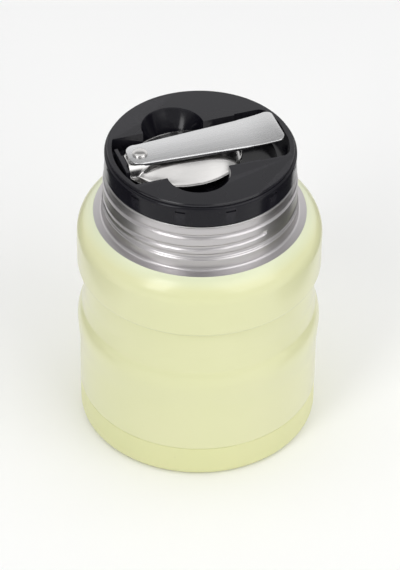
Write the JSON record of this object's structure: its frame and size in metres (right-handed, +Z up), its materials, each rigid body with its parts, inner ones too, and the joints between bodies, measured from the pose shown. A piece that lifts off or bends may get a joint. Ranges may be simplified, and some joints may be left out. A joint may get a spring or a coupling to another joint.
{
  "type": "insulated food jar",
  "caption": "Vacuum food jar with a pale yellow waisted steel body, bare threaded neck, and a black screw stopper holding a folding spoon.",
  "frame": {"origin": "centre of the foot ring on the plane the jar stands on", "axes": "+Z up, +X along the folded spoon from its rivet towards the handle's free end"},
  "size_m": [0.094, 0.094, 0.129],
  "materials": {
    "shell_paint": "satin",
    "base_plastic": "satin",
    "steel": "satin",
    "spoon_steel": "brushed",
    "braze": "matte",
    "copper": "bright",
    "black_plastic": "satin",
    "foam": "matte",
    "silicone": "matte"
  },
  "bodies": {
    "jar": {"outer_shell": "shell_paint", "inner_liner": "steel", "outer_bottom": "steel", "base_cup": "base_plastic", "radiation_foil": "copper", "getter": "braze", "getter_clip": "steel", "vacuum_seal": "braze"},
    "seal": {"stopper_seal": "silicone"},
    "stopper": {"stopper_body": "black_plastic", "stopper_top": "black_plastic", "stopper_foam": "foam"},
    "spoon": {"spoon_bowl": "spoon_steel", "spoon_rivet": "spoon_steel"},
    "handle": {"spoon_handle": "spoon_steel"}
  },
  "joints": [
    {"name": "stopper_rise", "type": "slide", "parent": "jar", "child": "seal", "axis": [0, 0, 1], "range_m": [0, 0.0201]},
    {"name": "stopper_turn", "type": "hinge", "parent": "seal", "child": "stopper", "pos_m": [0, 0, 0.107], "axis": [0, 0, 1], "range_deg": [0, 1440]},
    {"name": "spoon_lift", "type": "slide", "parent": "stopper", "child": "spoon", "axis": [0, 0, 1], "range_m": [0, 0.03]},
    {"name": "spoon_swivel", "type": "hinge", "parent": "spoon", "child": "handle", "pos_m": [-0.024, 0, 0.127], "axis": [0, 0, 1], "range_deg": [0, 180]}
  ],
  "couplings": [
    {"joint": "stopper_rise", "follows": "stopper_turn", "m_per_rad": 0.00079577}
  ]
}
